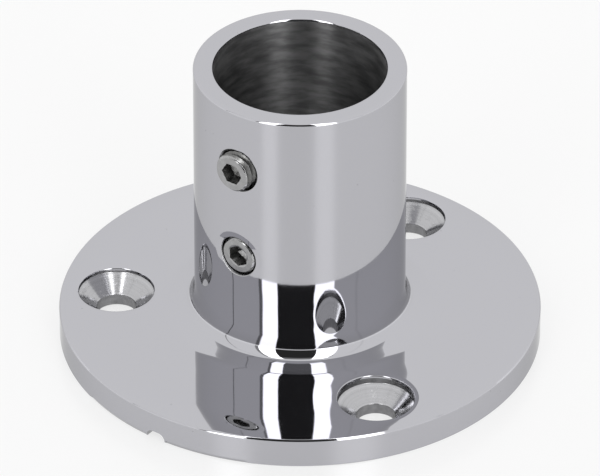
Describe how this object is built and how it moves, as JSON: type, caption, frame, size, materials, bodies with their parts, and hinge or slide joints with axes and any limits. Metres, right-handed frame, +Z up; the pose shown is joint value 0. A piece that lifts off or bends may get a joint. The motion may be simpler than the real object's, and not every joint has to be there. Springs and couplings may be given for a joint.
{
  "type": "stanchion base",
  "caption": "Round deck base for a boat rail stanchion: polished stainless flange with countersunk holes, an upright tube socket and recessed-hexagon set screws that clamp the tube.",
  "frame": {"origin": "centre of the flange's underside, on the socket's axis", "axes": "+Z up along the socket, -Y towards the side that holds the two set screws, +X to the right when looking along +Y"},
  "size_m": [0.0708, 0.0708, 0.0458],
  "materials": {
    "polished_stainless": "mirror-polished cast stainless steel",
    "screw_steel": "bright machined stainless steel"
  },
  "bodies": {
    "base": {"base_casting": "polished_stainless"},
    "upper_screw": {"upper_set_screw": "screw_steel"},
    "lower_screw": {"lower_set_screw": "screw_steel"}
  },
  "joints": [
    {"name": "upper_screw_travel", "type": "slide", "parent": "base", "child": "upper_screw", "axis": [0, 1, 0], "range_m": [-0.0012, 0.0025]},
    {"name": "lower_screw_travel", "type": "slide", "parent": "base", "child": "lower_screw", "axis": [0, 1, 0], "range_m": [-0.0027, 0.001]}
  ]
}
